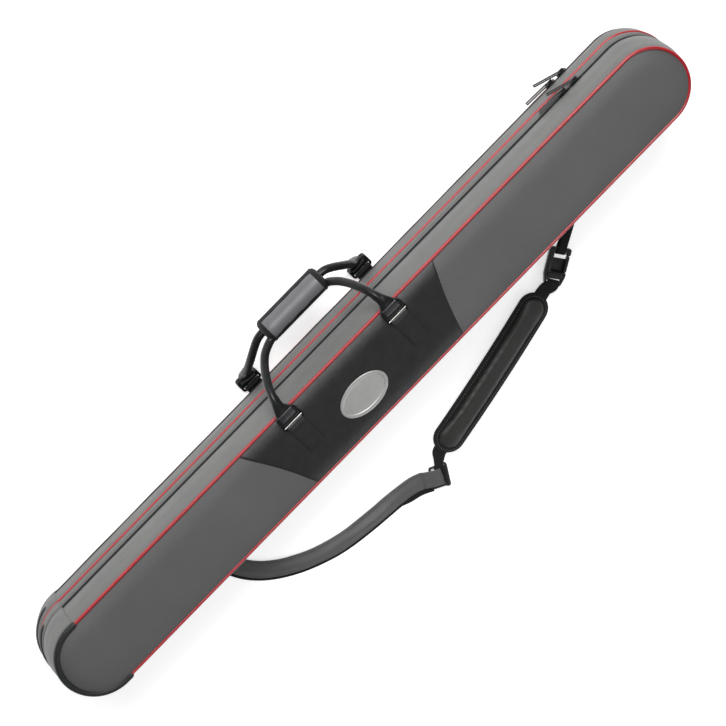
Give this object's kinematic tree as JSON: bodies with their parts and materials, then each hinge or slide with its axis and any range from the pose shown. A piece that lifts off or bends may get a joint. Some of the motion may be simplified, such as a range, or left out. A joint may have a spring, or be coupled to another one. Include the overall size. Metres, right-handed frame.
{
  "type": "rod case",
  "caption": "Long padded two-compartment rod case with round ends, zips along one side, paired carry handles and a shoulder strap.",
  "frame": {"origin": "centre of the back panel's outer face, on which the case lies", "axes": "+X along the case towards the tip end, +Y towards the zips and carry handles, +Z out of the front panel"},
  "size_m": [1.3164, 0.456, 0.1766],
  "materials": {
    "grey_coated_cloth": "grey polyurethane-coated cloth with a fine carbon-like grain",
    "stiffener_board": "semi-rigid sheet inside the padded panels",
    "lining": "smooth woven lining",
    "red_piping": "round red vinyl piping",
    "black_rubber": "moulded black guards",
    "zip_coil": "black coil zip and tape",
    "foam": "cloth-faced foam",
    "webbing": "woven black webbing",
    "black_leather": "smooth black imitation leather",
    "grip_wrap": "grey carbon-grain wrap with black binding",
    "silver_badge": "brushed silver",
    "ring_metal": "dark plated wire",
    "zip_metal": "black enamelled zinc",
    "strap_cloth": "grey coated strap with a black woven back",
    "pad_cloth": "black padded imitation leather",
    "black_plastic": "moulded black acetal"
  },
  "bodies": {
    "rear_shell": {"back_panel": "grey_coated_cloth", "back_board": "stiffener_board", "back_lining": "lining", "back_piping": "red_piping", "back_butt_guard": "black_rubber", "back_gusset_sides": "grey_coated_cloth", "back_gusset_ends": "grey_coated_cloth", "rear_zip_lower": "zip_coil", "rear_rod_rests": "foam", "rear_rod_belts": "webbing", "back_tabs": "black_leather", "strap_main": "strap_cloth", "strap_ring": "ring_metal", "butt_anchor": "webbing", "shoulder_pad": "pad_cloth", "pad_webbing": "webbing", "strap_adjuster": "black_plastic", "hook_body": "black_plastic", "tip_anchor": "webbing"},
    "middle": {"divider_board": "stiffener_board", "divider_lining": "lining", "middle_piping": "red_piping", "middle_front_wall_sides": "grey_coated_cloth", "middle_front_wall_ends": "grey_coated_cloth", "front_zip_lower": "zip_coil", "middle_rear_wall_sides": "grey_coated_cloth", "middle_rear_wall_ends": "grey_coated_cloth", "rear_zip_upper": "zip_coil", "front_butt_bumper": "black_rubber", "rear_butt_bumper": "black_rubber", "front_rod_rests": "foam", "front_rod_belts": "webbing"},
    "front_lid": {"front_panel": "grey_coated_cloth", "front_board": "stiffener_board", "front_lining": "lining", "front_piping": "red_piping", "front_butt_guard": "black_rubber", "front_gusset_sides": "grey_coated_cloth", "front_gusset_ends": "grey_coated_cloth", "front_zip_upper": "zip_coil", "centre_panel": "black_leather", "badge": "silver_badge", "front_tabs": "black_leather"},
    "front_handle": {"front_handle_rings": "ring_metal", "front_leather_ends": "black_leather", "front_arm": "black_leather", "front_grip_half": "grip_wrap"},
    "rear_handle": {"rear_handle_rings": "ring_metal", "rear_leather_ends": "black_leather", "rear_arm": "black_leather", "rear_grip_half": "grip_wrap"},
    "hook_gate": {"hook_gate": "black_plastic"},
    "front_slider_tip": {"front_slider_tip": "zip_metal"},
    "front_pull_tip": {"front_pull_tip": "zip_metal"},
    "front_slider_butt": {"front_slider_butt": "zip_metal"},
    "front_pull_butt": {"front_pull_butt": "zip_metal"},
    "rear_slider_tip": {"rear_slider_tip": "zip_metal"},
    "rear_pull_tip": {"rear_pull_tip": "zip_metal"},
    "rear_slider_butt": {"rear_slider_butt": "zip_metal"},
    "rear_pull_butt": {"rear_pull_butt": "zip_metal"}
  },
  "joints": [
    {"name": "middle_hinge", "type": "hinge", "parent": "rear_shell", "child": "middle", "pos_m": [0, -0.064, 0.03], "axis": [1, 0, 0], "range_deg": [0, 85]},
    {"name": "front_lid_hinge", "type": "hinge", "parent": "middle", "child": "front_lid", "pos_m": [0, -0.067, 0.092], "axis": [-1, 0, 0], "range_deg": [-95, 0]},
    {"name": "front_handle_swing", "type": "hinge", "parent": "front_lid", "child": "front_handle", "pos_m": [0, 0.04, 0.1682], "axis": [1, 0, 0], "range_deg": [0, 110]},
    {"name": "rear_handle_swing", "type": "hinge", "parent": "rear_shell", "child": "rear_handle", "pos_m": [0, 0.061, 0.0054], "axis": [1, 0, 0], "range_deg": [-100, 0]},
    {"name": "hook_gate_hinge", "type": "hinge", "parent": "rear_shell", "child": "hook_gate", "pos_m": [0.3148, -0.18232, 0.007], "axis": [0, 0, 1], "range_deg": [0, 20], "stiffness_Nm_per_rad": 0.05, "springref_deg": -11.46},
    {"name": "front_slider_tip_travel", "type": "slide", "parent": "middle", "child": "front_slider_tip", "axis": [1, 0, 0], "range_m": [0, 0.055]},
    {"name": "front_pull_tip_flip", "type": "hinge", "parent": "front_slider_tip", "child": "front_pull_tip", "pos_m": [0.5175, 0.0718, 0.092], "axis": [0, 0, 1], "range_deg": [-152, 0]},
    {"name": "front_slider_butt_travel", "type": "slide", "parent": "middle", "child": "front_slider_butt", "axis": [1, 0, 0], "range_m": [-1.055, 0]},
    {"name": "front_pull_butt_flip", "type": "hinge", "parent": "front_slider_butt", "child": "front_pull_butt", "pos_m": [0.4935, 0.0718, 0.092], "axis": [0, 0, 1], "range_deg": [-24, 0]},
    {"name": "rear_slider_tip_travel", "type": "slide", "parent": "rear_shell", "child": "rear_slider_tip", "axis": [1, 0, 0], "range_m": [0, 0.055]},
    {"name": "rear_pull_tip_flip", "type": "hinge", "parent": "rear_slider_tip", "child": "rear_pull_tip", "pos_m": [0.5175, 0.0688, 0.03], "axis": [0, 0, 1], "range_deg": [-152, 0]},
    {"name": "rear_slider_butt_travel", "type": "slide", "parent": "rear_shell", "child": "rear_slider_butt", "axis": [1, 0, 0], "range_m": [-1.055, 0]},
    {"name": "rear_pull_butt_flip", "type": "hinge", "parent": "rear_slider_butt", "child": "rear_pull_butt", "pos_m": [0.4935, 0.0688, 0.03], "axis": [0, 0, 1], "range_deg": [-24, 0]}
  ]
}
